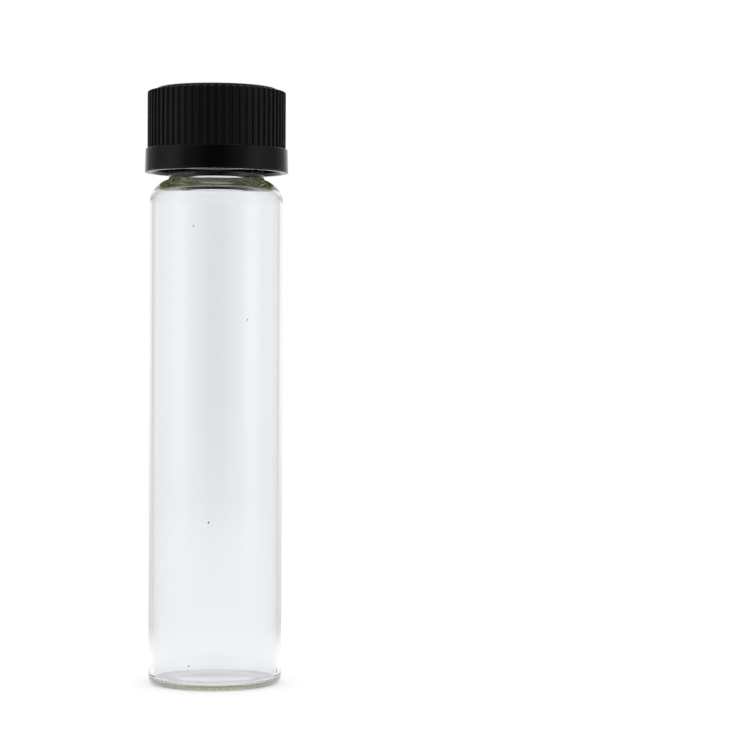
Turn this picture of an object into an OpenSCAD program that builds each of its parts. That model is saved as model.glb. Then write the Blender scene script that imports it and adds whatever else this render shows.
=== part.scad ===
// Glass sample vial with a two-piece push-and-turn screw cap.
// Millimetres, +Z up, origin at the middle of the base. The cap is shown screwed home.

/* [Glass body] */
// Outer diameter of the tube
body_d = 25; // [23:0.5:30]
// Wall of the tube
body_wall = 0.9; // [0.7:0.1:1.2]
// Height of the straight tube, from the base to the start of the shoulder
body_h = 90; // [60:1:130]
// Outer radius between base and tube
heel_r = 1.45; // [1:0.05:1.8]
// Inner radius between floor and tube
inner_heel_r = 1; // [0.6:0.1:2]
// Glass thickness in the middle of the floor
floor_t = 0.8; // [0.7:0.05:1.5]
// Height of the push-up under the base
push_up = 0.2; // [0.1:0.05:0.5]
// Width of the flat ring that the vial stands on
foot_w = 2; // [1.5:0.1:3]

/* [Shoulder and neck] */
// Outer radius of the rounded shoulder
shoulder_r = 4.6; // [4:0.1:5.5]
// Inner radius of the rounded shoulder
inner_shoulder_r = 2.8; // [2:0.1:3.5]
// Glass thickness between the crease of the neck and the inside of the shoulder
shoulder_t = 1.4; // [1.2:0.05:2.2]
// Radius of the hollow curve in the crease between shoulder and waist
crease_r = 0.4; // [0.2:0.1:0.9]
// Diameter of the threaded finish, without its thread
finish_d = 19.3; // [18.8:0.1:19.6]
// How deep the waist between shoulder and finish lies inside the finish
waist_depth = 0.7; // [0.3:0.05:1.2]
// Height of the waist above the crease
waist_h = 2; // [1:0.1:2.5]
// Height from the crease to the top of the rim
finish_h = 12.75; // [12.5:0.05:15]
// Radius of each of the two curves from waist to finish
flare_r = 1.5; // [1:0.1:1.8]
// Bore of the neck
bore_d = 12.8; // [11:0.1:13.5]
// Rounding of the rim and of the bore's lower edge
rim_r = 0.75; // [0.4:0.05:1.1]

/* [Screw thread] */
// Height of the glass thread over the finish
thread_h = 1.05; // [0.9:0.05:1.2]
// Rise in one turn
pitch = 2.6; // [2.5:0.05:2.8]
// Turns of the glass thread
glass_turns = 1.9; // [1:0.1:2]
// Width of the glass thread at its root
glass_thread_w = 1.6; // [1.2:0.05:1.7]
// Drop from the rim to the middle of the glass thread's upper end
glass_thread_drop = 1.7; // [1.6:0.05:2.2]
// Turns of the cap's thread
cap_turns = 1.8; // [1:0.1:1.9]
// Width of the cap's thread at its root
cap_thread_w = 1.2; // [0.9:0.05:1.3]
// Clearance between a thread's crest and the wall that it faces
thread_gap = 0.2; // [0.15:0.01:0.3]

/* [Liner] */
// Thickness of the sealing liner
liner_t = 0.6; // [0.4:0.1:1]
// Clearance between the liner and the inner cap's skirt
liner_gap = 0.25; // [0.1:0.05:0.4]

/* [Inner cap] */
// Wall of the threaded skirt
skirt_wall = 0.7; // [0.6:0.05:0.9]
// Depth of the skirt below the panel
skirt_h = 10.5; // [9.5:0.1:10.8]
// Thickness of the top panel
panel_t = 0.9; // [0.7:0.05:1.2]
// Width of the flange that the shell snaps over
flange_w = 0.4; // [0.35:0.05:0.5]
// Height of that flange
flange_h = 1.4; // [1.1:0.1:1.6]

/* [Drive bars] */
// Number of bars on the inner cap, and of bars under the shell
bar_count = 6; // [4:1:8]
// Distance from the axis to a bar's inner end
bar_start = 3.8; // [3.5:0.1:4.5]
// Length of a bar
bar_len = 5.3; // [4:0.1:5.5]
// Width of a bar at its root
bar_w = 1.15; // [0.9:0.05:1.4]
// Width of a bar's crest, which leaves a ramp on one side
bar_crest = 0.65; // [0.4:0.05:0.8]
// Height of the inner cap's bars
inner_bar_h = 0.7; // [0.6:0.05:0.8]
// Height of the shell's bars
shell_bar_h = 0.8; // [0.75:0.05:0.9]
// Gap below the shell's bars when the shell is down
bar_gap = 0.2; // [0.1:0.05:0.3]

/* [Outer shell] */
// Clearance between the skirt and the shell
shell_gap = 0.25; // [0.15:0.05:0.4]
// Wall of the ribbed part, at the root of the ribs
shell_wall = 0.8; // [0.7:0.05:1.2]
// Thickness of the shell's top
top_t = 1.15; // [1:0.05:1.6]
// Rounding of the shell's top edge
crown_r = 0.45; // [0.3:0.05:0.6]
// Distance from the root of the ribs to the raised disc
disc_inset = 1.2; // [0.8:0.1:3]
// Height of the raised disc
disc_h = 0.6; // [0.3:0.1:0.8]
// Number of grip ribs
rib_count = 60; // [48:2:66]
// Width of a rib at its root
rib_w = 0.62; // [0.5:0.02:0.7]
// Height of a rib
rib_h = 0.29; // [0.2:0.01:0.32]
// Height of the smooth band
band_h = 4.45; // [4.2:0.05:5.5]
// Wall of the band at its top
band_wall = 1.11; // [1.05:0.01:1.4]
// How much further out the band's lower edge stands than its upper edge
band_flare = 0.1; // [0:0.02:0.16]
// Width of the flat face of the mouth's lip
lip_w = 1.13; // [0.9:0.01:1.2]
// Height of the lead-in from the lip to the snap bead
lead_in_h = 0.5; // [0.4:0.05:0.7]
// Height of the snap bead's crest
bead_h = 0.2; // [0.15:0.05:0.3]
// How far the snap bead reaches under the flange
bead_catch = 0.25; // [0.15:0.05:0.3]
// How far the shell can rise on the inner cap
free_lift = 0.9; // [0.85:0.05:1]

/* [Hidden] */
$fn = 96;

// Overlap that lets a cut pass its face, and how deep a ridge or a bar is rooted in its wall
cut = 1;
ridge_root = 0.2;
bar_root = 0.3;
// Steps round one turn of a thread and points across it
turn_steps = 48;
ridge_points = 7;
// Turns over which a thread's ends fade, and the share of its height that they fade to
fade_turns = 0.12;
least_fade = 0.05;
// Facets of the wide, shallow curves in the base
dome_fn = 1080;
// Running clearances inside the closure
flange_gap = 0.2;
lift_gap = 0.05;
// How far the crown's rounding starts outside the ribs
rib_clear = 0.04;
// Small moulded edges
edge_r = 0.25;
mouth_chamfer = 0.3;
panel_r = 0.8;
// Gate mark in the middle of the shell's top
gate_r = 1.2;
gate_depth = 0.2;

// Radii, from the axis outwards
body_r = body_d / 2;
inner_r = body_r - body_wall;
foot_out_r = body_r - heel_r;
foot_in_r = foot_out_r - foot_w;
floor_r = inner_r - inner_heel_r;
bore_r = bore_d / 2;
finish_r = finish_d / 2;
waist_r = finish_r - waist_depth;
thread_r = finish_r + thread_h;
skirt_in_r = thread_r + thread_gap;
skirt_out_r = skirt_in_r + skirt_wall;
liner_r = skirt_in_r - liner_gap;
flange_r = skirt_out_r + flange_w;
shell_in_r = skirt_out_r + shell_gap;
rib_root_r = shell_in_r + shell_wall;
rib_tip_r = rib_root_r + rib_h;
disc_r = rib_root_r - disc_inset;
band_in_r = flange_r + flange_gap;
band_top_r = band_in_r + band_wall;
band_low_r = band_top_r + band_flare;
lip_in_r = band_low_r - lip_w;
bead_r = flange_r - bead_catch;

// A height rounded to a hundredth, so that faces that meet lie in exactly one plane
function hundredths(height) = round(100 * height) / 100;

// Heights, from the base upwards
shoulder_x = body_r - shoulder_r;
crease_run = max(0, waist_r - shoulder_x);
crease_z = hundredths(body_h + sqrt(shoulder_r * shoulder_r - crease_run * crease_run));
crease_x = waist_r + crease_r;
crease_step = max(0, crease_x - shoulder_x);
crease_top_z = body_h + sqrt((shoulder_r + crease_r) * (shoulder_r + crease_r)
    - crease_step * crease_step);
rim_z = crease_z + finish_h;
ceiling_in_z = crease_z - shoulder_t;
liner_z = rim_z;
panel_z = liner_z + liner_t;
panel_top_z = panel_z + panel_t;
skirt_z = panel_z - skirt_h;
ceiling_z = panel_top_z + bar_gap + shell_bar_h;
crown_z = ceiling_z + top_t;
bead_top_z = skirt_z - free_lift - lift_gap;
shell_z = bead_top_z - bead_h - lead_in_h;
ledge_z = shell_z + band_h;
flange_top_z = skirt_z + flange_h;

// The flare from waist to finish is two equal arcs that meet halfway
flare_z = crease_z + waist_h;
flare_step = waist_depth / 2;
flare_rise = sqrt(flare_r * flare_r - (flare_r - flare_step) * (flare_r - flare_step));
flare_top_z = flare_z + 2 * flare_rise;

// Turn of its helix at which each thread starts, and z of each helix at turn 0
glass_start_turn = 0.5;
cap_start_turn = 0.7;
glass_z0 = rim_z - glass_thread_drop - (glass_start_turn + glass_turns) * pitch;
cap_z0 = glass_z0 - pitch / 2;

// Radius of the circle through the middle and the edge of a shallow dome
function dome_r(half_width, rise) = (half_width * half_width + rise * rise) / (2 * rise);

// Share of a ridge's full height at t turns along it, rising and falling at its ends
function ridge_fade(t, turns) =
    max(least_fade, sin(90 * min(1, t / fade_turns, (turns - t) / fade_turns)));

// One cross-section of a ridge, at turn t of its helix; side is 1 outwards and -1 inwards
function ridge_ring(t, root_r, side, height, width, z) = [
    for (i = [0 : ridge_points - 1])
        let (u = 180 * i / (ridge_points - 1), r = root_r + side * height * sin(u))
            [r * cos(360 * t), r * sin(360 * t), z - width / 2 * cos(u)]
];

// Point outside a rounded corner: the square at the corner less its circle
module corner_waste(r) {
    difference() {
        square(r);
        circle(r);
    }
}

// Rounded ridge along a helix
module helix_ridge(start, turns, root_r, side, height, width, z0) {
    steps = ceil(turns * turn_steps);
    n = ridge_points;
    rings = [
        for (k = [0 : steps])
            let (t = turns * k / steps)
                ridge_ring(start + t, root_r, side, height * ridge_fade(t, turns), width,
                    z0 + (start + t) * pitch)
    ];
    points = [for (ring = rings, p = ring) p];
    skin = [
        for (k = [0 : steps - 1], i = [0 : n - 1])
            let (a = k * n + i, b = k * n + (i + 1) % n)
                each [[a, b, b + n], [a, b + n, a + n]]
    ];
    first_end = [for (i = [n - 1 : -1 : 0]) i];
    last_end = [for (i = [0 : n - 1]) steps * n + i];
    faces = concat(skin, [first_end, last_end]);
    // Mirroring the section turns the faces round, so an inward ridge lists them backwards
    polyhedron(points, side > 0 ? faces : [for (f = faces) [for (i = [len(f) - 1 : -1 : 0]) f[i]]]);
}

// Half-section of the glass as if it were solid
module vial_outline() {
    difference() {
        square([body_r, body_h]);
        translate([body_r - heel_r, heel_r]) mirror([0, 1]) corner_waste(heel_r);
        translate([0, push_up - dome_r(foot_in_r, push_up)])
            circle(dome_r(foot_in_r, push_up), $fn = dome_fn);
    }
    intersection() {
        translate([shoulder_x, body_h]) circle(shoulder_r);
        square([body_r, rim_z]);
    }
    translate([0, body_h / 2]) square([shoulder_x, body_h / 2 + shoulder_r]);
    translate([0, body_h]) square([waist_r, flare_top_z + flare_r - body_h]);
    crease_outline();
    flare_outline();
    difference() {
        translate([0, rim_z]) mirror([0, 1]) square([finish_r, rim_z - flare_top_z]);
        translate([finish_r - rim_r, rim_z - rim_r]) corner_waste(rim_r);
    }
}

// Half-section of the crease, filled up to a hollow curve that touches shoulder and waist
module crease_outline() {
    difference() {
        polygon([[crease_x - crease_step, body_h], [crease_x, crease_top_z],
            [waist_r - crease_r, crease_top_z]]);
        translate([crease_x, crease_top_z]) circle(crease_r);
    }
}

// Half-section of the flare: a hollow curve out of the waist, then a full one up to the finish
module flare_outline() {
    difference() {
        translate([0, flare_z]) square([waist_r + flare_step, flare_rise]);
        translate([waist_r + flare_r, flare_z]) circle(flare_r);
    }
    translate([finish_r - flare_r, flare_top_z]) circle(flare_r);
}

// Half-section of the space inside the glass
module vial_cavity() {
    floor_z = push_up + floor_t;
    translate([0, floor_z]) square([floor_r, body_h / 2]);
    translate([0, floor_z + inner_heel_r])
        square([inner_r, ceiling_in_z - inner_shoulder_r - floor_z - inner_heel_r]);
    translate([floor_r, floor_z + inner_heel_r]) circle(inner_heel_r);
    translate([inner_r - inner_shoulder_r, ceiling_in_z - inner_shoulder_r])
        circle(inner_shoulder_r);
    translate([0, body_h / 2])
        square([inner_r - inner_shoulder_r, ceiling_in_z - body_h / 2]);
    translate([0, ceiling_in_z - cut]) square([bore_r, rim_z - ceiling_in_z + 2 * cut]);
    translate([bore_r + rim_r, ceiling_in_z + rim_r]) rotate(180) corner_waste(rim_r);
    translate([bore_r + rim_r, rim_z - rim_r]) mirror([1, 0]) corner_waste(rim_r);
}

module vial() {
    color([0.84, 0.88, 0.84, 0.45]) {
        rotate_extrude() difference() {
            vial_outline();
            vial_cavity();
        }
        helix_ridge(glass_start_turn, glass_turns, finish_r - ridge_root, 1,
            thread_r - finish_r + ridge_root, glass_thread_w, glass_z0);
    }
}

module liner() {
    color([0.82, 0.85, 0.86, 0.6])
        translate([0, 0, liner_z]) cylinder(h = liner_t, r = liner_r);
}

// Half-section of the threaded skirt, its panel and its flange
module inner_cap_section() {
    difference() {
        union() {
            difference() {
                translate([0, skirt_z]) square([skirt_out_r, panel_top_z - skirt_z]);
                translate([skirt_out_r - panel_r, panel_top_z - panel_r]) corner_waste(panel_r);
            }
            polygon([
                [skirt_in_r, skirt_z],
                [flange_r - bead_catch, skirt_z],
                [flange_r, skirt_z + bead_catch],
                [flange_r, flange_top_z - flange_w],
                [skirt_out_r, flange_top_z],
                [skirt_in_r, flange_top_z]
            ]);
        }
        translate([0, skirt_z - cut]) square([skirt_in_r, panel_z - skirt_z + cut]);
        polygon([
            [0, skirt_z - cut],
            [skirt_in_r + mouth_chamfer + cut, skirt_z - cut],
            [skirt_in_r, skirt_z + mouth_chamfer],
            [0, skirt_z + mouth_chamfer]
        ]);
    }
}

// Radial bars round the axis, with one upright drive face and one ramp each
module drive_bars(height, first_angle) {
    drive_face = bar_w / 2;
    for (i = [0 : bar_count - 1])
        rotate(first_angle + 360 * i / bar_count)
            translate([bar_start, 0, 0])
                rotate([90, 0, 90])
                    linear_extrude(bar_len)
                        polygon([
                            [drive_face, -bar_root],
                            [drive_face, height],
                            [drive_face - bar_crest, height],
                            [-drive_face, 0],
                            [-drive_face, -bar_root]
                        ]);
}

module inner_cap() {
    color([0.72, 0.76, 0.8, 0.7]) {
        rotate_extrude() inner_cap_section();
        translate([0, 0, panel_top_z]) drive_bars(inner_bar_h, 0);
        helix_ridge(cap_start_turn, cap_turns, skirt_in_r + ridge_root, -1,
            skirt_in_r - finish_r - thread_gap + ridge_root, cap_thread_w, cap_z0);
    }
}

// Half-section that the ribbed part is trimmed to, with a rounded crown
module shell_envelope() {
    crown_out_r = rib_tip_r + rib_clear;
    difference() {
        translate([0, ledge_z - cut]) square([crown_out_r, crown_z - ledge_z + cut]);
        translate([crown_out_r - crown_r, crown_z - crown_r]) corner_waste(crown_r);
    }
}

// Half-section of the smooth band
module band_outline() {
    difference() {
        polygon([
            [0, shell_z],
            [band_low_r - edge_r / 2, shell_z],
            [band_low_r, shell_z + edge_r / 2],
            [band_top_r, ledge_z],
            [0, ledge_z]
        ]);
        translate([band_top_r - edge_r, ledge_z - edge_r]) corner_waste(edge_r);
    }
}

// Half-section of the space inside the shell, with the lead-in and the snap bead at its mouth
module shell_cavity() {
    polygon([
        [0, shell_z - cut],
        [lip_in_r, shell_z - cut],
        [lip_in_r, shell_z],
        [bead_r, shell_z + lead_in_h],
        [bead_r, bead_top_z],
        [band_in_r, bead_top_z],
        [band_in_r, ledge_z - (band_in_r - shell_in_r)],
        [shell_in_r, ledge_z],
        [shell_in_r, ceiling_z],
        [0, ceiling_z]
    ]);
}

module outer_shell() {
    color([0.07, 0.07, 0.075]) {
        difference() {
            union() {
                intersection() {
                    translate([0, 0, ledge_z - edge_r])
                        linear_extrude(crown_z - ledge_z + edge_r) ribbed_outline();
                    rotate_extrude() shell_envelope();
                }
                rotate_extrude() band_outline();
                rotate_extrude() disc_outline();
            }
            rotate_extrude() shell_cavity();
            translate([0, 0, crown_z + disc_h - gate_depth]) cylinder(h = cut, r = gate_r);
        }
        translate([0, 0, ceiling_z]) mirror([0, 0, 1])
            drive_bars(shell_bar_h, 180 / bar_count);
    }
}

// Outline of the ribbed part: a round with a rib at every step
module ribbed_outline() {
    rib_r = rib_w / 2;
    circle(rib_root_r);
    for (i = [0 : rib_count - 1])
        rotate(360 * i / rib_count)
            translate([rib_tip_r - rib_r, 0]) circle(rib_r, $fn = 24);
}

// Half-section of the raised disc
module disc_outline() {
    difference() {
        translate([0, crown_z - top_t / 2]) square([disc_r, disc_h + top_t / 2]);
        translate([disc_r - disc_h, crown_z]) corner_waste(disc_h);
    }
}

vial();
liner();
inner_cap();
outer_shell();
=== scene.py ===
from math import asin, atan2, cos, degrees, pi, radians, sin, sqrt

import bmesh
import bpy
from mathutils import Matrix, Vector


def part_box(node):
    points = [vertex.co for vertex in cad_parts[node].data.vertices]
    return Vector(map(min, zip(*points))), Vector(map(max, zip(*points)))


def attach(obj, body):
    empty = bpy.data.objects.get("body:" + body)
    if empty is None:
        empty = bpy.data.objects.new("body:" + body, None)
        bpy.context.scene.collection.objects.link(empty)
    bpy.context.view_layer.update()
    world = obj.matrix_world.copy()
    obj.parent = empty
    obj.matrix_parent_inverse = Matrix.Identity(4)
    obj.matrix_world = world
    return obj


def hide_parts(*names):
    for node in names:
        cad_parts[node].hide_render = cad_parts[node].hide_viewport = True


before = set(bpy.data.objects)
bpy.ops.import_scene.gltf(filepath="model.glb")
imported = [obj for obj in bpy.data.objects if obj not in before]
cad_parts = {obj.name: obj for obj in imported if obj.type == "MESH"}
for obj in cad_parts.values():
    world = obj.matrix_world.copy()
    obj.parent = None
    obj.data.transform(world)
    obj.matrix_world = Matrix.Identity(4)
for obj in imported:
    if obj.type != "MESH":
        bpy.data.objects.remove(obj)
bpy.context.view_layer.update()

mm = 0.001
edgeGap = 0.3  # millimetres from a rounded edge to the next row of points, so that it shades tightly
scene = bpy.context.scene


# Turns a written sRGB colour into the linear one that the shaders take
def linearColour(hexCode):
    channels = [int(hexCode[i:i + 2], 16) / 255 for i in (1, 3, 5)]
    return [c / 12.92 if c <= 0.04045 else ((c + 0.055) / 1.055) ** 2.4 for c in channels] + [1.0]


def addNode(tree, kind, inputs=None, **settings):
    node = tree.nodes.new(kind)
    for name, value in settings.items():
        setattr(node, name, value)
    for key, value in (inputs or {}).items():
        if isinstance(value, bpy.types.Node):
            value = value.outputs[0]
        if isinstance(value, bpy.types.NodeSocket):
            tree.links.new(value, node.inputs[key])
        else:
            node.inputs[key].default_value = value
    return node


def newMaterial(name):
    material = bpy.data.materials.new(name)
    material.use_nodes = True
    material.node_tree.nodes.clear()
    return material, material.node_tree


# A shape tree has one named input for each size, and an input for the finish that its end puts on
def newShapeTree(name, sizes):
    tree = bpy.data.node_groups.new(name, "GeometryNodeTree")
    tree.interface.new_socket("Geometry", in_out="INPUT", socket_type="NodeSocketGeometry")
    for label in sizes:
        kind = "NodeSocketInt" if isinstance(sizes[label], int) else "NodeSocketFloat"
        tree.interface.new_socket(label, in_out="INPUT", socket_type=kind)
    tree.interface.new_socket("Finish", in_out="INPUT", socket_type="NodeSocketMaterial")
    tree.interface.new_socket("Geometry", in_out="OUTPUT", socket_type="NodeSocketGeometry")
    return tree, tree.nodes.new("NodeGroupInput").outputs


def endShapeTree(tree, geometry, finish):
    whole = addNode(tree, "GeometryNodeRealizeInstances", {0: geometry})
    dressed = addNode(tree, "GeometryNodeSetMaterial", {"Geometry": whole, "Material": finish})
    addNode(tree, "NodeGroupOutput", {0: dressed})


# Runs a shape tree on a piece and keeps the result as its plain mesh
def runShapeTree(piece, tree, sizes, finish):
    modifier = piece.modifiers.new(tree.name, "NODES")
    modifier.node_group = tree
    for socket in tree.interface.items_tree:
        if socket.in_out == "INPUT" and socket.name in sizes:
            modifier[socket.identifier] = sizes[socket.name]
        if socket.in_out == "INPUT" and socket.name == "Finish":
            modifier[socket.identifier] = finish
    grown = piece.evaluated_get(bpy.context.evaluated_depsgraph_get())
    rough = piece.data
    piece.data = bpy.data.meshes.new_from_object(grown)
    piece.modifiers.clear()
    bpy.data.meshes.remove(rough)


def newPiece(name, work, finish):
    mesh = bpy.data.meshes.new(name)
    bmesh.ops.recalc_face_normals(work, faces=work.faces)
    work.to_mesh(mesh)
    work.free()
    mesh.materials.append(finish)
    piece = bpy.data.objects.new(name, mesh)
    scene.collection.objects.link(piece)
    return piece


def smoothFaces(piece):
    sharpAngle = 32
    mesh = piece.data
    mesh.polygons.foreach_set("use_smooth", [True] * len(mesh.polygons))
    mesh.set_sharp_from_angle(angle=radians(sharpAngle))


# Points of an arc in an outline, from one angle to another in degrees
def arc(centreR, centreZ, radius, first, last, steps):
    turns = [radians(first + (last - first) * i / steps) for i in range(steps + 1)]
    return [(centreR + radius * cos(a), centreZ + radius * sin(a)) for a in turns]


# Points between two others on a straight stretch, without its ends
def run(start, end, steps):
    return [(start[0] + (end[0] - start[0]) * i / steps, start[1] + (end[1] - start[1]) * i / steps)
            for i in range(1, steps)]


# A revolved shell from an outline in millimetres that starts and ends on the axis
def lathe(name, outline, angles, finish):
    work = bmesh.new()
    rows = []
    for r, z in outline:
        if r < 1e-6:
            rows.append([work.verts.new((0, 0, z * mm))] * len(angles))
        else:
            rows.append([work.verts.new((r * cos(a) * mm, r * sin(a) * mm, z * mm)) for a in angles])
    for low, high in zip(rows, rows[1:]):
        for i in range(len(angles)):
            j = (i + 1) % len(angles)
            corners = list(dict.fromkeys([low[i], low[j], high[j], high[i]]))
            if len(corners) > 2:
                work.faces.new(corners)
    return newPiece(name, work, finish)


def evenTurn(count):
    return [2 * pi * i / count for i in range(count)]


glassFinish = {"clear": "#f6f7fb", "speck": "#55554c", "tint": "#efed59", "tintDensity": 18, "ior": 1.52,
    "drawScale": 420, "drawStretch": 0.02, "drawStrength": 0.02, "drawHeight": 0.02 * mm,
    "rippleScale": 700, "rippleHeight": 0.04 * mm, "rippleFull": 0.25 * mm, "rippleEnd": 0.9 * mm}
# Seeds and specks in the glass: where each one lies and its half sizes, in millimetres
glassSpecks = [
    ((-3.4, -12.0, 85.2), (0.13, 0.3, 0.2)), ((6.5, -10.7, 68.1), (0.13, 0.3, 0.2)),
    ((-0.4, -12.5, 31.0), (0.22, 0.3, 0.22)), ((-4.0, -11.8, 4.6), (0.2, 0.3, 0.16)),
    ((11.8, -4.2, 2.8), (0.12, 0.4, 0.6))]


# Drawn soda-lime glass, fire-polished: clear with a few specks, and faintly olive where it is thick.
# Fine lines run along the tube from the drawing, and the foot keeps a ripple where it was pressed.
def makeClearGlass(f):
    material, tree = newMaterial("drawn_clear_glass")
    place = addNode(tree, "ShaderNodeTexCoord")
    stretch = addNode(tree, "ShaderNodeMapping",
        {"Vector": place.outputs["Object"], "Scale": (1, 1, f["drawStretch"])})
    drawLines = addNode(tree, "ShaderNodeTexNoise", {"Vector": stretch, "Scale": f["drawScale"], "Detail": 2})
    bump = addNode(tree, "ShaderNodeBump",
        {"Strength": f["drawStrength"], "Distance": f["drawHeight"], "Height": drawLines.outputs[0]})
    height = addNode(tree, "ShaderNodeSeparateXYZ", {0: place}).outputs["Z"]
    worn = addNode(tree, "ShaderNodeMapRange",
        {"Value": height, 1: f["rippleFull"], 2: f["rippleEnd"], 3: 1.0, 4: 0.0},
        interpolation_type="SMOOTHSTEP")
    ripple = addNode(tree, "ShaderNodeTexNoise", {"Vector": place, "Scale": f["rippleScale"], "Detail": 2})
    rippleUp = addNode(tree, "ShaderNodeMath", {0: ripple.outputs[0], 1: worn}, operation="MULTIPLY")
    bump = addNode(tree, "ShaderNodeBump",
        {"Strength": 1.0, "Distance": f["rippleHeight"], "Height": rippleUp, "Normal": bump})
    clean = 1.0
    for spot, size in glassSpecks:
        aside = addNode(tree, "ShaderNodeVectorMath",
            {0: place.outputs["Object"], 1: [v * mm for v in spot]}, operation="SUBTRACT")
        aside = addNode(tree, "ShaderNodeVectorMath",
            {0: aside, 1: [v * mm for v in size]}, operation="DIVIDE")
        away = addNode(tree, "ShaderNodeVectorMath", {0: aside}, operation="LENGTH").outputs["Value"]
        away = addNode(tree, "ShaderNodeMapRange", {"Value": away, 1: 0.5, 2: 1.0})
        clean = addNode(tree, "ShaderNodeMath", {0: clean, 1: away}, operation="MINIMUM")
    tone = addNode(tree, "ShaderNodeMix", {0: clean,
        6: linearColour(f["speck"]), 7: linearColour(f["clear"])}, data_type="RGBA")
    glass = addNode(tree, "ShaderNodeBsdfPrincipled", {
        "Base Color": tone.outputs[2], "Roughness": 0.0, "IOR": f["ior"],
        "Transmission Weight": clean, "Normal": bump})
    tint = addNode(tree, "ShaderNodeVolumeAbsorption",
        {"Color": linearColour(f["tint"]), "Density": f["tintDensity"]})
    addNode(tree, "ShaderNodeOutputMaterial", {"Surface": glass, "Volume": tint})
    return material


blackFinish = {"colour": "#070708", "bandRoughness": 0.16, "gripRoughness": 0.36, "change": 0.2 * mm,
    "cloudScale": 260, "cloudSpread": 0.05, "grainScale": 2600, "grainStrength": 0.25,
    "grainHeight": 0.03 * mm, "specularLevel": 0.175, "ior": 1.49}


# Injection-moulded black polypropylene: a fine spark-eroded grain on the grip, and a smoother band
# below bandTop that takes clearer reflections
def makeBlackPlastic(f, bandTop):
    material, tree = newMaterial("moulded_black_polypropylene")
    place = addNode(tree, "ShaderNodeTexCoord").outputs["Object"]
    height = addNode(tree, "ShaderNodeSeparateXYZ", {0: place}).outputs["Z"]
    gloss = addNode(tree, "ShaderNodeMapRange", {"Value": height, 1: bandTop - f["change"], 2: bandTop,
        3: f["bandRoughness"], 4: f["gripRoughness"]})
    cloud = addNode(tree, "ShaderNodeTexNoise", {"Vector": place, "Scale": f["cloudScale"], "Detail": 4})
    spread = addNode(tree, "ShaderNodeMapRange",
        {"Value": cloud.outputs[0], 1: 0.3, 2: 0.7, 3: -f["cloudSpread"], 4: f["cloudSpread"]})
    roughness = addNode(tree, "ShaderNodeMath", {0: gloss, 1: spread}, operation="ADD")
    grain = addNode(tree, "ShaderNodeTexNoise", {"Vector": place, "Scale": f["grainScale"], "Detail": 3})
    bump = addNode(tree, "ShaderNodeBump",
        {"Strength": f["grainStrength"], "Distance": f["grainHeight"], "Height": grain.outputs[0]})
    plastic = addNode(tree, "ShaderNodeBsdfPrincipled", {
        "Base Color": linearColour(f["colour"]), "Roughness": roughness, "IOR": f["ior"],
        "Specular IOR Level": f["specularLevel"], "Normal": bump})
    addNode(tree, "ShaderNodeOutputMaterial", {"Surface": plastic})
    return material


naturalFinish = {"milky": "#b9c4cc", "pale": "#d3dbe0", "flowScale": 180, "flowBend": 1.5,
    "flowStrength": 0.15, "flowHeight": 0.03 * mm, "roughness": 0.33, "seeThrough": 0.35, "ior": 1.49}


# Injection-moulded natural polypropylene: milky and slightly blue, with soft flow marks
def makeNaturalPlastic(f):
    material, tree = newMaterial("moulded_natural_polypropylene")
    place = addNode(tree, "ShaderNodeTexCoord").outputs["Object"]
    flow = addNode(tree, "ShaderNodeTexNoise",
        {"Vector": place, "Scale": f["flowScale"], "Detail": 3, "Distortion": f["flowBend"]})
    tone = addNode(tree, "ShaderNodeMix", {0: flow.outputs[0],
        6: linearColour(f["milky"]), 7: linearColour(f["pale"])}, data_type="RGBA")
    bump = addNode(tree, "ShaderNodeBump",
        {"Strength": f["flowStrength"], "Distance": f["flowHeight"], "Height": flow.outputs[0]})
    plastic = addNode(tree, "ShaderNodeBsdfPrincipled", {
        "Base Color": tone.outputs[2], "Roughness": f["roughness"], "IOR": f["ior"],
        "Transmission Weight": f["seeThrough"], "Normal": bump})
    addNode(tree, "ShaderNodeOutputMaterial", {"Surface": plastic})
    return material


foamFinish = {"colour": "#dfe3e3", "cellScale": 2500, "cellStrength": 0.3, "cellHeight": 0.04 * mm,
    "roughness": 0.5, "glowThrough": 0.2, "glowDepth": 0.4 * mm, "ior": 1.5}


# Foamed polyethylene sheet: soft and white, with fine closed cells about 0.4 mm across
def makeLinerFoam(f):
    material, tree = newMaterial("foamed_polyethylene")
    place = addNode(tree, "ShaderNodeTexCoord").outputs["Object"]
    cells = addNode(tree, "ShaderNodeTexVoronoi", {"Vector": place, "Scale": f["cellScale"]})
    bump = addNode(tree, "ShaderNodeBump",
        {"Strength": f["cellStrength"], "Distance": f["cellHeight"], "Height": cells.outputs[0]})
    foam = addNode(tree, "ShaderNodeBsdfPrincipled", {
        "Base Color": linearColour(f["colour"]), "Roughness": f["roughness"], "IOR": f["ior"],
        "Subsurface Weight": f["glowThrough"], "Subsurface Scale": f["glowDepth"], "Normal": bump})
    addNode(tree, "ShaderNodeOutputMaterial", {"Surface": foam})
    return material


# Radii, wall and heights above the base in millimetres
glass = {
    "tubeR": 12.5, "wall": 0.9, "tubeTop": 89.9,
    "heelR": 1.45, "innerHeelR": 1.0, "footWidth": 2.0, "pushUp": 0.2, "floorThick": 0.8,
    "shoulderR": 4.6, "creaseR": 0.4, "ceilingZ": 93.0, "innerShoulderR": 2.4,
    "waistR": 8.95, "waistTop": 96.48, "flareR": 1.5, "finishR": 9.65, "rimR": 0.75,
    "boreR": 6.4, "boreEdgeR": 2.0, "columns": 432}
screwThread = {"Pitch": 2.6 * mm, "Turns": 1.9, "First turn": 0.5, "Run out": 0.12, "Height": 1.05 * mm,
    "Zero height": 99.29 * mm, "Crest": 0.2 * mm, "Root": 0.95 * mm,
    "Inner limit": 9.6 * mm, "Outer limit": 9.7 * mm}
heelMarks = {"Count": 60, "Depth": 0.16 * mm, "Start radius": 11.1 * mm, "End radius": 12.3 * mm,
    "Top": 1.2 * mm}


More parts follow.
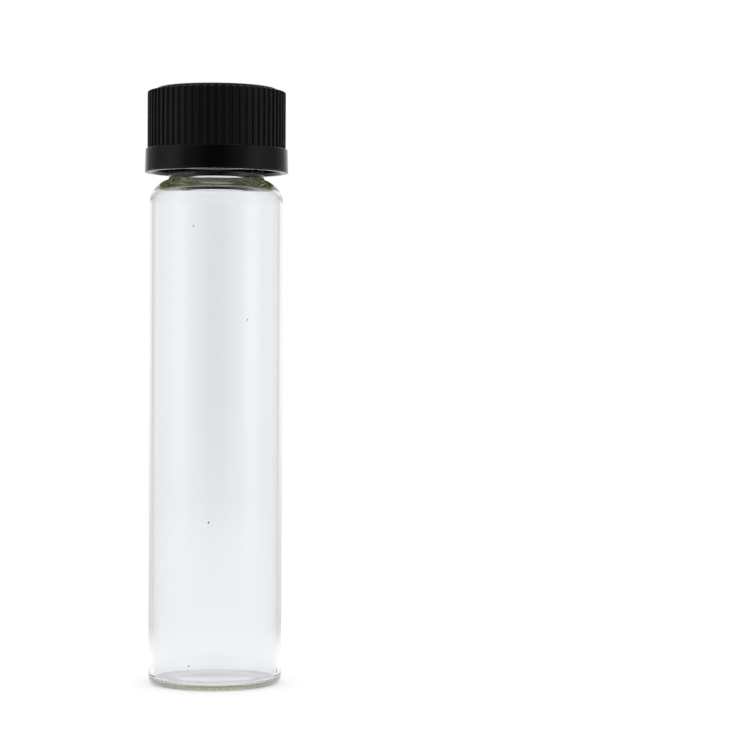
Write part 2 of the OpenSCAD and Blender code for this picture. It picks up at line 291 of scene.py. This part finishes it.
# Half outline of the glass, from the push-up over the rim to the middle of the floor
def glassOutline(g, rimZ):
    footOut = g["tubeR"] - g["heelR"]
    footIn = footOut - g["footWidth"]
    domeR = (footIn ** 2 + g["pushUp"] ** 2) / (2 * g["pushUp"])
    domeAt = [footIn * i / 8 for i in range(9)]
    dome = [(r, g["pushUp"] - domeR + sqrt(domeR ** 2 - r ** 2)) for r in domeAt]
    inner = g["tubeR"] - g["wall"]
    shoulderX = g["tubeR"] - g["shoulderR"]
    creaseX = g["waistR"] + g["creaseR"]
    creaseZ = g["tubeTop"] + sqrt((g["shoulderR"] + g["creaseR"]) ** 2 - (creaseX - shoulderX) ** 2)
    lean = degrees(atan2(creaseZ - g["tubeTop"], creaseX - shoulderX))
    step = (g["finishR"] - g["waistR"]) / 2
    bend = degrees(asin(sqrt(g["flareR"] ** 2 - (g["flareR"] - step) ** 2) / g["flareR"]))
    rise = g["flareR"] * sin(radians(bend))
    flareTop = g["waistTop"] + 2 * rise
    rimLow = rimZ - g["rimR"]
    lipIn = g["boreR"] + g["rimR"]
    mouthR = g["boreR"] + g["boreEdgeR"]
    mouthZ = g["ceilingZ"] + g["boreEdgeR"]
    roundX = inner - g["innerShoulderR"]
    roundZ = g["ceilingZ"] - g["innerShoulderR"]
    floorZ = g["pushUp"] + g["floorThick"]
    flatR = inner - g["innerHeelR"]
    cornerZ = floorZ + g["innerHeelR"]
    return (
        dome
        + run((footIn, 0), (footOut, 0), 5)
        + arc(footOut, g["heelR"], g["heelR"], -90, 0, 18)
        + [(g["tubeR"], g["heelR"] + edgeGap), (g["tubeR"], g["tubeTop"] - edgeGap)]
        + arc(shoulderX, g["tubeTop"], g["shoulderR"], 0, lean, 18)
        + arc(creaseX, creaseZ, g["creaseR"], lean - 180, -180, 8)[1:]
        + run((g["waistR"], creaseZ), (g["waistR"], g["waistTop"]), 5)
        + arc(g["waistR"] + g["flareR"], g["waistTop"], g["flareR"], 180, 180 - bend, 5)
        + arc(g["finishR"] - g["flareR"], flareTop, g["flareR"], -bend, 0, 5)[1:]
        + run((g["finishR"], flareTop), (g["finishR"], rimLow), 62)
        + arc(g["finishR"] - g["rimR"], rimLow, g["rimR"], 0, 90, 8)
        + arc(lipIn, rimLow, g["rimR"], 90, 180, 8)
        + [(g["boreR"], rimLow - edgeGap), (g["boreR"], mouthZ + edgeGap)]
        + arc(mouthR, mouthZ, g["boreEdgeR"], 180, 270, 10)
        + run((mouthR, g["ceilingZ"]), (roundX, g["ceilingZ"]), 4)
        + arc(roundX, roundZ, g["innerShoulderR"], 90, 0, 12)
        + [(inner, roundZ - edgeGap), (inner, cornerZ + edgeGap)]
        + arc(flatR, cornerZ, g["innerHeelR"], 0, -90, 14)
        + run((flatR, floorZ), (0, floorZ), 6)
        + [(0, floorZ)])


# Raises a helical ridge on the points that lie between two radii
def makeThreadTree():
    tree, sizes = newShapeTree("screwThread", screwThread)
    spot = addNode(tree, "GeometryNodeInputPosition")
    axes = addNode(tree, "ShaderNodeSeparateXYZ", {0: spot}).outputs
    turn = addNode(tree, "ShaderNodeMath", {0: axes["Y"], 1: axes["X"]}, operation="ARCTAN2")
    turn = addNode(tree, "ShaderNodeMath", {0: turn, 1: 2 * pi}, operation="DIVIDE")
    aboveZero = addNode(tree, "ShaderNodeMath", {0: axes["Z"], 1: sizes["Zero height"]}, operation="SUBTRACT")
    turnsUp = addNode(tree, "ShaderNodeMath", {0: aboveZero, 1: sizes["Pitch"]}, operation="DIVIDE")
    whole = addNode(tree, "ShaderNodeMath", {0: turnsUp, 1: turn}, operation="SUBTRACT")
    whole = addNode(tree, "ShaderNodeMath", {0: whole}, operation="ROUND")
    along = addNode(tree, "ShaderNodeMath", {0: turn, 1: whole}, operation="ADD")
    middle = addNode(tree, "ShaderNodeMath", {0: along, 1: sizes["Pitch"]}, operation="MULTIPLY")
    off = addNode(tree, "ShaderNodeMath", {0: aboveZero, 1: middle}, operation="SUBTRACT")
    off = addNode(tree, "ShaderNodeMath", {0: off}, operation="ABSOLUTE")
    flank = addNode(tree, "ShaderNodeMapRange",
        {"Value": off, 1: sizes["Crest"], 2: sizes["Root"], 3: 1.0, 4: 0.0},
        interpolation_type="SMOOTHSTEP")
    done = addNode(tree, "ShaderNodeMath", {0: along, 1: sizes["First turn"]}, operation="SUBTRACT")
    left = addNode(tree, "ShaderNodeMath", {0: sizes["Turns"], 1: done}, operation="SUBTRACT")
    nearEnd = addNode(tree, "ShaderNodeMath", {0: done, 1: left}, operation="MINIMUM")
    fade = addNode(tree, "ShaderNodeMapRange",
        {"Value": nearEnd, 1: 0.0, 2: sizes["Run out"], 3: 0.0, 4: 1.0}, interpolation_type="SMOOTHSTEP")
    flat = addNode(tree, "ShaderNodeCombineXYZ", {0: axes["X"], 1: axes["Y"]})
    radius = addNode(tree, "ShaderNodeVectorMath", {0: flat}, operation="LENGTH").outputs["Value"]
    outward = addNode(tree, "ShaderNodeVectorMath", {0: flat}, operation="NORMALIZE")
    farEnough = addNode(tree, "FunctionNodeCompare",
        {0: radius, 1: sizes["Inner limit"]}, operation="GREATER_THAN")
    nearEnough = addNode(tree, "FunctionNodeCompare",
        {0: radius, 1: sizes["Outer limit"]}, operation="LESS_THAN")
    onWall = addNode(tree, "FunctionNodeBooleanMath", {0: farEnough, 1: nearEnough}, operation="AND")
    lift = addNode(tree, "ShaderNodeMath", {0: flank, 1: fade}, operation="MULTIPLY")
    lift = addNode(tree, "ShaderNodeMath", {0: lift, 1: sizes["Height"]}, operation="MULTIPLY")
    push = addNode(tree, "ShaderNodeVectorMath", {0: outward, "Scale": lift}, operation="SCALE")
    moved = addNode(tree, "GeometryNodeSetPosition",
        {"Geometry": sizes["Geometry"], "Selection": onWall, "Offset": push})
    endShapeTree(tree, moved, sizes["Finish"])
    return tree


# Presses short grooves into the rounded heel, side by side round the base
def makeHeelTree():
    tree, sizes = newShapeTree("heelMarks", heelMarks)
    spot = addNode(tree, "GeometryNodeInputPosition")
    axes = addNode(tree, "ShaderNodeSeparateXYZ", {0: spot}).outputs
    turn = addNode(tree, "ShaderNodeMath", {0: axes["Y"], 1: axes["X"]}, operation="ARCTAN2")
    wave = addNode(tree, "ShaderNodeMath", {0: turn, 1: sizes["Count"]}, operation="MULTIPLY")
    wave = addNode(tree, "ShaderNodeMath", {0: wave}, operation="COSINE")
    groove = addNode(tree, "ShaderNodeMapRange", {"Value": wave, 1: -1.0, 2: 1.0, 3: 0.0, 4: 1.0})
    flat = addNode(tree, "ShaderNodeCombineXYZ", {0: axes["X"], 1: axes["Y"]})
    radius = addNode(tree, "ShaderNodeVectorMath", {0: flat}, operation="LENGTH").outputs["Value"]
    across = addNode(tree, "ShaderNodeMapRange",
        {"Value": radius, 1: sizes["Start radius"], 2: sizes["End radius"], 3: 0.0, 4: pi})
    band = addNode(tree, "ShaderNodeMath", {0: across}, operation="SINE")
    low = addNode(tree, "FunctionNodeCompare", {0: axes["Z"], 1: sizes["Top"]}, operation="LESS_THAN")
    depth = addNode(tree, "ShaderNodeMath", {0: groove, 1: band}, operation="MULTIPLY")
    depth = addNode(tree, "ShaderNodeMath", {0: depth, 1: sizes["Depth"]}, operation="MULTIPLY")
    depth = addNode(tree, "ShaderNodeMath", {0: depth, 1: -1.0}, operation="MULTIPLY")
    normal = addNode(tree, "GeometryNodeInputNormal")
    push = addNode(tree, "ShaderNodeVectorMath", {0: normal, "Scale": depth}, operation="SCALE")
    moved = addNode(tree, "GeometryNodeSetPosition",
        {"Geometry": sizes["Geometry"], "Selection": low, "Offset": push})
    endShapeTree(tree, moved, sizes["Finish"])
    return tree


clearGlass = makeClearGlass(glassFinish)
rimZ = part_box("vial")[1][2] / mm
vialPiece = lathe("clearVial", glassOutline(glass, rimZ), evenTurn(glass["columns"]), clearGlass)
threadTree = makeThreadTree()
runShapeTree(vialPiece, threadTree, screwThread, clearGlass)
runShapeTree(vialPiece, makeHeelTree(), heelMarks, clearGlass)
smoothFaces(vialPiece)
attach(vialPiece, "vial")
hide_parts("vial")
print("glass vial made")


# The seat is a hair's breadth over the rim, so that the foam and the glass share no face
liner = {"radius": 10.65, "edgeR": 0.12, "seat": 0.01, "columns": 144}
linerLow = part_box("liner")[0][2] / mm + liner["seat"]
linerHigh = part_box("liner")[1][2] / mm
linerEdge = liner["radius"] - liner["edgeR"]
foam = makeLinerFoam(foamFinish)
linerOutline = (
    [(0, linerLow)]
    + arc(linerEdge, linerLow + liner["edgeR"], liner["edgeR"], -90, 0, 4)
    + arc(linerEdge, linerHigh - liner["edgeR"], liner["edgeR"], 0, 90, 4)
    + [(0, linerHigh)])
linerPiece = lathe("foamLiner", linerOutline, evenTurn(liner["columns"]), foam)
smoothFaces(linerPiece)
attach(linerPiece, "liner")
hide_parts("liner")
print("liner made")


innerCap = {"skirtInR": 10.9, "skirtOutR": 11.6, "skirtLow": 97.33, "panelLow": 107.83,
    "panelHigh": 108.73, "panelR": 0.8, "flangeR": 12.0, "flangeTop": 98.73, "catch": 0.25,
    "flangeDrop": 0.4, "chamfer": 0.3, "cornerR": 0.35, "barHeight": 0.7, "columns": 288}
capThread = dict(screwThread)
capThread.update({"Turns": 1.8, "First turn": 0.7, "Height": -1.05 * mm, "Zero height": 97.99 * mm,
    "Crest": 0.1 * mm, "Root": 0.75 * mm, "Inner limit": 10.85 * mm, "Outer limit": 10.95 * mm})
driveBars = {"Count": 6, "First angle": 0.0}
barShape = {"start": 3.8, "length": 5.3, "width": 1.15, "crest": 0.65, "root": 0.15, "bevel": 0.1}


# Half outline of the inner cap, from under its panel down the threaded side and up the outside
def innerCapOutline(c):
    roof = c["panelLow"] - c["cornerR"]
    wallLow = c["skirtLow"] + c["chamfer"]
    panelOut = c["skirtOutR"] - c["panelR"]
    panelEdge = c["panelHigh"] - c["panelR"]
    return (
        [(0, c["panelLow"]), (c["skirtInR"] - c["cornerR"] - edgeGap, c["panelLow"])]
        + arc(c["skirtInR"] - c["cornerR"], roof, c["cornerR"], 90, 0, 5)
        + run((c["skirtInR"], roof), (c["skirtInR"], wallLow), 76)
        + [(c["skirtInR"], wallLow), (c["skirtInR"] + c["chamfer"], c["skirtLow"])]
        + [(c["flangeR"] - c["catch"], c["skirtLow"]), (c["flangeR"], c["skirtLow"] + c["catch"])]
        + [(c["flangeR"], c["flangeTop"] - c["flangeDrop"]), (c["skirtOutR"], c["flangeTop"])]
        + [(c["skirtOutR"], panelEdge - edgeGap)]
        + arc(panelOut, panelEdge, c["panelR"], 0, 90, 8)
        + [(panelOut - edgeGap, c["panelHigh"]), (0, c["panelHigh"])])


# Sets copies of one drive bar round the axis
def makeBarTree():
    tree, sizes = newShapeTree("driveBars", driveBars)
    points = addNode(tree, "GeometryNodePoints", {"Count": sizes["Count"], "Position": (0, 0, 0)})
    number = addNode(tree, "GeometryNodeInputIndex")
    share = addNode(tree, "ShaderNodeMath", {0: number, 1: sizes["Count"]}, operation="DIVIDE")
    turn = addNode(tree, "ShaderNodeMath",
        {0: share, 1: 2 * pi, 2: sizes["First angle"]}, operation="MULTIPLY_ADD")
    facing = addNode(tree, "ShaderNodeCombineXYZ", {2: turn})
    ring = addNode(tree, "GeometryNodeInstanceOnPoints",
        {"Points": points, "Instance": sizes["Geometry"], "Rotation": facing})
    endShapeTree(tree, ring, sizes["Finish"])
    return tree


# One bar along X from a level face: an upright drive face, a crest and a ramp; side is -1 below the face
def barPiece(name, shape, level, height, side, finish):
    face = shape["width"] / 2
    section = [(face, -shape["root"]), (face, height), (face - shape["crest"], height),
        (-face, 0), (-face, -shape["root"])]
    work = bmesh.new()
    ends = []
    for x in (shape["start"], shape["start"] + shape["length"]):
        ends.append([work.verts.new((x * mm, y * mm, (level + side * z) * mm)) for y, z in section])
    work.faces.new(ends[0])
    work.faces.new(ends[1])
    for i in range(len(section)):
        j = (i + 1) % len(section)
        work.faces.new([ends[0][i], ends[0][j], ends[1][j], ends[1][i]])
    bmesh.ops.bevel(work, geom=work.edges[:], offset=shape["bevel"] * mm, segments=2, affect="EDGES",
        profile=0.5, clamp_overlap=True)
    return newPiece(name, work, finish)


naturalPlastic = makeNaturalPlastic(naturalFinish)
innerPiece = lathe("threadedInnerCap", innerCapOutline(innerCap), evenTurn(innerCap["columns"]),
    naturalPlastic)
runShapeTree(innerPiece, threadTree, capThread, naturalPlastic)
smoothFaces(innerPiece)
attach(innerPiece, "inner_cap")
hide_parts("inner_cap")

barTree = makeBarTree()
innerBars = barPiece("innerDriveBars", barShape, innerCap["panelHigh"], innerCap["barHeight"], 1,
    naturalPlastic)
runShapeTree(innerBars, barTree, driveBars, naturalPlastic)
smoothFaces(innerBars)
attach(innerBars, "inner_cap")
print("inner cap made")


shell = {"inR": 11.85, "rootR": 12.65, "tipR": 12.98, "crownR": 0.45, "bottom": 95.68, "ledge": 100.13,
    "ceiling": 109.73, "crown": 110.88, "discR": 11.45, "discH": 0.6, "gateR": 1.2, "gateDepth": 0.2,
    "bandInR": 12.2, "bandTopR": 13.31, "bandLowR": 13.41, "edgeR": 0.25, "lipInR": 12.28,
    "leadIn": 0.5, "beadR": 11.75, "beadTop": 96.38, "cornerR": 0.3, "barHeight": 0.8}
gripRibs = {"Count": 60, "Rib radius": 0.31 * mm, "Rib height": 0.29 * mm,
    "Root radius": shell["rootR"] * mm, "Ledge height": shell["ledge"] * mm}
shellBarTurn = {"Count": 6, "First angle": pi / 6}  # half a step round from the inner cap's bars


# Half outline of the shell, from under its ceiling down the inside, round the band and over the top
def shellOutline(s):
    edge = s["edgeR"]
    top = s["crown"] + s["discH"]
    gateFloor = top - s["gateDepth"]
    cone = s["bandInR"] - s["inR"]
    cornerR = s["inR"] - s["cornerR"]
    discEdge = s["discR"] - s["discH"]
    leanLow, leanTop = 0.007, 0.006  # how far the slanted band has come in at its edge rows
    ridge, fine, discFoot, discGap = 0.02, 0.01, 0.08, 0.25
    gateEdge, gateFoot = 0.06, 0.03
    return (
        [(0, s["ceiling"]), (cornerR - edgeGap, s["ceiling"])]
        + arc(cornerR, s["ceiling"] - s["cornerR"], s["cornerR"], 90, 0, 4)
        + [(s["inR"], s["ledge"]), (s["bandInR"], s["ledge"] - cone)]
        + [(s["bandInR"], s["beadTop"]), (s["beadR"], s["beadTop"])]
        + [(s["beadR"], s["bottom"] + s["leadIn"]), (s["lipInR"], s["bottom"])]
        + run((s["lipInR"], s["bottom"]), (s["bandLowR"] - edge, s["bottom"]), 3)
        + arc(s["bandLowR"] - edge / 2, s["bottom"] + edge / 2, edge / 2, -90, 0, 5)
        + [(s["bandLowR"] - leanLow, s["bottom"] + edge / 2 + edgeGap)]
        + [(s["bandTopR"] + leanTop, s["ledge"] - edge - edgeGap)]
        + arc(s["bandTopR"] - edge, s["ledge"] - edge, edge, 0, 90, 6)
        + [(s["tipR"] + ridge, s["ledge"]), (s["tipR"], s["ledge"])]
        + [(s["tipR"], s["ledge"] + fine), (s["tipR"], s["ledge"] + edgeGap)]
        + run((s["tipR"], s["ledge"] + edgeGap), (s["tipR"], s["crown"] - s["crownR"]), 6)
        + arc(s["tipR"] - s["crownR"], s["crown"] - s["crownR"], s["crownR"], 0, 90, 9)
        + [(s["rootR"] - s["crownR"], s["crown"])]
        + [(s["discR"] + discGap, s["crown"]), (s["discR"] + discFoot, s["crown"])]
        + arc(discEdge, s["crown"], s["discH"], 0, 90, 10)
        + [(discEdge - edgeGap, top)]
        + run((discEdge - edgeGap, top), (s["gateR"] + edgeGap, top), 5)
        + [(s["gateR"] + gateEdge, top), (s["gateR"], top - gateEdge)]
        + [(s["gateR"], gateFloor + gateFoot), (s["gateR"] - gateFoot, gateFloor), (0, gateFloor)])


# Angles round one turn, close together where a rib rises out of the wall
def ribAngles(count):
    half = [0.4, 0.8, 1.1, 1.3, 1.42, 1.62]  # degrees to one side of a rib's middle
    steps = [-d for d in reversed(half)] + [0] + half + [180 / count]
    return [radians(360 * i / count + d) for i in range(count) for d in steps]


# Cuts the grip wall back to its root between rounded ribs
def makeRibTree():
    tree, sizes = newShapeTree("gripRibs", gripRibs)
    spot = addNode(tree, "GeometryNodeInputPosition")
    axes = addNode(tree, "ShaderNodeSeparateXYZ", {0: spot}).outputs
    turn = addNode(tree, "ShaderNodeMath", {0: axes["Y"], 1: axes["X"]}, operation="ARCTAN2")
    step = addNode(tree, "ShaderNodeMath", {0: 2 * pi, 1: sizes["Count"]}, operation="DIVIDE")
    nearest = addNode(tree, "ShaderNodeMath", {0: turn, 1: step}, operation="DIVIDE")
    nearest = addNode(tree, "ShaderNodeMath", {0: nearest}, operation="ROUND")
    nearest = addNode(tree, "ShaderNodeMath", {0: nearest, 1: step}, operation="MULTIPLY")
    off = addNode(tree, "ShaderNodeMath", {0: turn, 1: nearest}, operation="SUBTRACT")
    aside = addNode(tree, "ShaderNodeMath", {0: off}, operation="SINE")
    aside = addNode(tree, "ShaderNodeMath", {0: aside, 1: sizes["Root radius"]}, operation="MULTIPLY")
    aside = addNode(tree, "ShaderNodeMath", {0: aside, 1: 2.0}, operation="POWER")
    ribSquare = addNode(tree, "ShaderNodeMath", {0: sizes["Rib radius"], 1: 2.0}, operation="POWER")
    left = addNode(tree, "ShaderNodeMath", {0: ribSquare, 1: aside}, operation="SUBTRACT")
    left = addNode(tree, "ShaderNodeMath", {0: left, 1: 0.0}, operation="MAXIMUM")
    bulge = addNode(tree, "ShaderNodeMath", {0: left}, operation="SQRT")
    sunk = addNode(tree, "ShaderNodeMath",
        {0: sizes["Rib radius"], 1: sizes["Rib height"]}, operation="SUBTRACT")
    bulge = addNode(tree, "ShaderNodeMath", {0: bulge, 1: sunk}, operation="SUBTRACT")
    bulge = addNode(tree, "ShaderNodeMath", {0: bulge, 1: 0.0}, operation="MAXIMUM")
    allowed = addNode(tree, "ShaderNodeMath", {0: bulge, 1: sizes["Root radius"]}, operation="ADD")
    flat = addNode(tree, "ShaderNodeCombineXYZ", {0: axes["X"], 1: axes["Y"]})
    radius = addNode(tree, "ShaderNodeVectorMath", {0: flat}, operation="LENGTH").outputs["Value"]
    outward = addNode(tree, "ShaderNodeVectorMath", {0: flat}, operation="NORMALIZE")
    kept = addNode(tree, "ShaderNodeMath", {0: radius, 1: allowed}, operation="MINIMUM")
    change = addNode(tree, "ShaderNodeMath", {0: kept, 1: radius}, operation="SUBTRACT")
    above = addNode(tree, "FunctionNodeCompare",
        {0: axes["Z"], 1: sizes["Ledge height"]}, operation="GREATER_THAN")
    push = addNode(tree, "ShaderNodeVectorMath", {0: outward, "Scale": change}, operation="SCALE")
    moved = addNode(tree, "GeometryNodeSetPosition",
        {"Geometry": sizes["Geometry"], "Selection": above, "Offset": push})
    endShapeTree(tree, moved, sizes["Finish"])
    return tree


blackPlastic = makeBlackPlastic(blackFinish, shell["ledge"] * mm)
shellPiece = lathe("ribbedShell", shellOutline(shell), ribAngles(gripRibs["Count"]), blackPlastic)
runShapeTree(shellPiece, makeRibTree(), gripRibs, blackPlastic)
smoothFaces(shellPiece)
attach(shellPiece, "outer_shell")
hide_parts("outer_shell")

shellBars = barPiece("shellDriveBars", barShape, shell["ceiling"], shell["barHeight"], -1, blackPlastic)
runShapeTree(shellBars, barTree, shellBarTurn, blackPlastic)
smoothFaces(shellBars)
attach(shellBars, "outer_shell")
print("outer shell made")


# Floor sizes and fades in metres. glow is the floor's own light to the camera and through the glass,
# and underGlass is how bright it is where it is seen through the glass alone.
floorSheet = {"half": 0.6, "drop": 0.03 * mm, "colour": "#f2f2f2", "glow": 0.38,
    "fadeNear": 0.3, "fadeFar": 0.58, "mirrorNear": 0.04, "mirrorFar": 0.1,
    "underGlass": 1.0, "underGlassShare": 0.6}


# Matt white card that fades into the white round it, and sooner in what the glass reflects
def makeFloorFinish(f):
    material, tree = newMaterial("matt_white_card")
    path = addNode(tree, "ShaderNodeLightPath").outputs
    seen = addNode(tree, "ShaderNodeMath",
        {0: path["Is Camera Ray"], 1: path["Is Glossy Ray"]}, operation="MAXIMUM")
    seen = addNode(tree, "ShaderNodeMath", {0: seen, 1: path["Is Transmission Ray"]}, operation="MAXIMUM")
    glow = addNode(tree, "ShaderNodeMath", {0: seen, 1: f["glow"]}, operation="MULTIPLY")
    place = addNode(tree, "ShaderNodeTexCoord").outputs["Object"]
    away = addNode(tree, "ShaderNodeVectorMath", {0: place}, operation="LENGTH").outputs["Value"]
    card = addNode(tree, "ShaderNodeBsdfDiffuse", {"Color": linearColour(f["colour"])})
    glowing = addNode(tree, "ShaderNodeEmission", {"Color": (1, 1, 1, 1), "Strength": glow})
    card = addNode(tree, "ShaderNodeAddShader", {0: card, 1: glowing})
    bright = addNode(tree, "ShaderNodeEmission", {"Color": (1, 1, 1, 1), "Strength": f["underGlass"]})
    share = addNode(tree, "ShaderNodeMath", {0: path["Is Transmission Ray"], 1: f["underGlassShare"]},
        operation="MULTIPLY")
    lit = addNode(tree, "ShaderNodeMixShader", {0: share, 1: card, 2: bright})
    gone = addNode(tree, "ShaderNodeMapRange",
        {"Value": away, 1: f["fadeNear"], 2: f["fadeFar"], 3: 0.0, 4: 1.0}, interpolation_type="SMOOTHSTEP")
    goneMirrored = addNode(tree, "ShaderNodeMapRange",
        {"Value": away, 1: f["mirrorNear"], 2: f["mirrorFar"], 3: 0.0, 4: 1.0},
        interpolation_type="SMOOTHSTEP")
    mirrored = addNode(tree, "ShaderNodeMath", {0: path["Glossy Depth"], 1: 0.5}, operation="GREATER_THAN")
    gone = addNode(tree, "ShaderNodeMix", {0: mirrored, 2: gone, 3: goneMirrored}, data_type="FLOAT")
    clear = addNode(tree, "ShaderNodeBsdfTransparent")
    faded = addNode(tree, "ShaderNodeMixShader", {0: gone, 1: lit, 2: clear})
    addNode(tree, "ShaderNodeOutputMaterial", {"Surface": faded})
    return material


half = floorSheet["half"]
floorMesh = bpy.data.meshes.new("floorSheet")
corners = [(-half, -half), (half, -half), (half, half), (-half, half)]
floorMesh.from_pydata([(x, y, -floorSheet["drop"]) for x, y in corners], [], [(0, 1, 2, 3)])
floorMesh.materials.append(makeFloorFinish(floorSheet))
floorPiece = bpy.data.objects.new("floorSheet", floorMesh)
scene.collection.objects.link(floorPiece)


# Surroundings: a plain white sweep wherever the view passes straight through the glass, and a room in
# everything that reflects, the glass's inner walls included. Each stop is a share of the half turn from
# the sweep behind the object round to the viewer's side, and its level of light. "atHeight" is the ring
# at the object's own height, and "above" takes over between the two rises aboveFrom and aboveTo.
roomLight = {
    "atHeight": [(0.0, 1.0), (0.145, 1.0), (0.16, 0.72), (0.25, 0.72), (0.325, 0.95), (0.4, 0.85),
        (0.5, 0.9), (0.57, 1.25), (0.64, 1.25), (0.7, 0.97), (0.75, 0.62), (0.8, 0.5),
        (0.845, 0.43), (0.89, 0.22), (0.94, 0.03)],
    "above": [(0.0, 1.0), (0.12, 1.0), (0.167, 0.8), (0.226, 0.43), (0.292, 0.4), (0.364, 0.39),
        (0.427, 0.43), (0.507, 0.68), (0.589, 1.04), (0.663, 0.86), (0.744, 0.39), (0.819, 0.26),
        (0.892, 0.11), (0.94, 0.03)],
    "aboveFrom": 0.06, "aboveTo": 0.07, "below": 0.75, "belowTo": -0.13, "sweep": 1.0, "fill": 0.75}


def makeRing(tree, share, stops):
    ring = addNode(tree, "ShaderNodeValToRGB", {"Fac": share})
    ramp = ring.color_ramp
    while len(ramp.elements) < len(stops):
        ramp.elements.new(1.0)
    for element, (place, level) in zip(ramp.elements, stops):
        element.position = place
        element.color = (level, level, level, 1)
    return ring


def makeWorld(r):
    world = bpy.data.worlds.new("paleStudio")
    scene.world = world
    world.use_nodes = True
    tree = world.node_tree
    tree.nodes.clear()
    path = addNode(tree, "ShaderNodeLightPath").outputs
    way = addNode(tree, "ShaderNodeTexCoord").outputs["Generated"]
    axes = addNode(tree, "ShaderNodeSeparateXYZ", {0: way}).outputs
    turn = addNode(tree, "ShaderNodeMath", {0: axes["X"], 1: axes["Y"]}, operation="ARCTAN2")
    turn = addNode(tree, "ShaderNodeMath", {0: turn}, operation="ABSOLUTE")
    share = addNode(tree, "ShaderNodeMath", {0: turn, 1: pi}, operation="DIVIDE")
    up = addNode(tree, "ShaderNodeMapRange", {"Value": axes["Z"], 1: r["aboveFrom"], 2: r["aboveTo"]})
    down = addNode(tree, "ShaderNodeMapRange", {"Value": axes["Z"], 1: 0.0, 2: r["belowTo"]},
        interpolation_type="SMOOTHSTEP")
    room = addNode(tree, "ShaderNodeMix", {0: up, 2: makeRing(tree, share, r["atHeight"]),
        3: makeRing(tree, share, r["above"])}, data_type="FLOAT")
    room = addNode(tree, "ShaderNodeMix", {0: down, 2: room, 3: r["below"]}, data_type="FLOAT")
    reflected = addNode(tree, "ShaderNodeMath", {0: path["Glossy Depth"], 1: 0.5}, operation="GREATER_THAN")
    level = addNode(tree, "ShaderNodeMix", {0: reflected, 2: r["sweep"], 3: room}, data_type="FLOAT")
    level = addNode(tree, "ShaderNodeMix",
        {0: path["Is Diffuse Ray"], 2: level, 3: r["fill"]}, data_type="FLOAT")
    light = addNode(tree, "ShaderNodeBackground", {"Color": (1, 1, 1, 1), "Strength": level})
    addNode(tree, "ShaderNodeOutputWorld", {"Surface": light})
    world.cycles.sampling_method = "NONE"


makeWorld(roomLight)

softbox = {"size": 0.35, "height": 0.6, "watts": 0.45}
lamp = bpy.data.lights.new("softbox", "AREA")
lamp.size = softbox["size"]
lamp.energy = softbox["watts"]
holder = bpy.data.objects.new("softbox", lamp)
holder.matrix_world = Matrix.Translation((0, 0, softbox["height"]))
scene.collection.objects.link(holder)

view = {"lens": 113.862, "sensor": 36, "nearest": 0.01, "farthest": 50,
    "place": (0.029885, -0.44549, 0.064137), "tiltDown": 0.0139, "roll": 0.0047}
camera = bpy.data.cameras.new("camera")
camera.lens = view["lens"]
camera.sensor_width = view["sensor"]
camera.clip_start = view["nearest"]
camera.clip_end = view["farthest"]
viewer = bpy.data.objects.new("camera", camera)
viewer.matrix_world = (Matrix.Translation(view["place"])
    @ Matrix.Rotation(pi / 2 - view["tiltDown"], 4, "X") @ Matrix.Rotation(view["roll"], 4, "Z"))
scene.collection.objects.link(viewer)
scene.camera = viewer
scene.view_settings.view_transform = "Standard"

# Light goes round inside thick glass many times before it comes out
lightBounces = {"max_bounces": 48, "glossy_bounces": 40, "transmission_bounces": 48}
for setting, count in lightBounces.items():
    setattr(scene.cycles, setting, count)
print("floor, light and camera set")
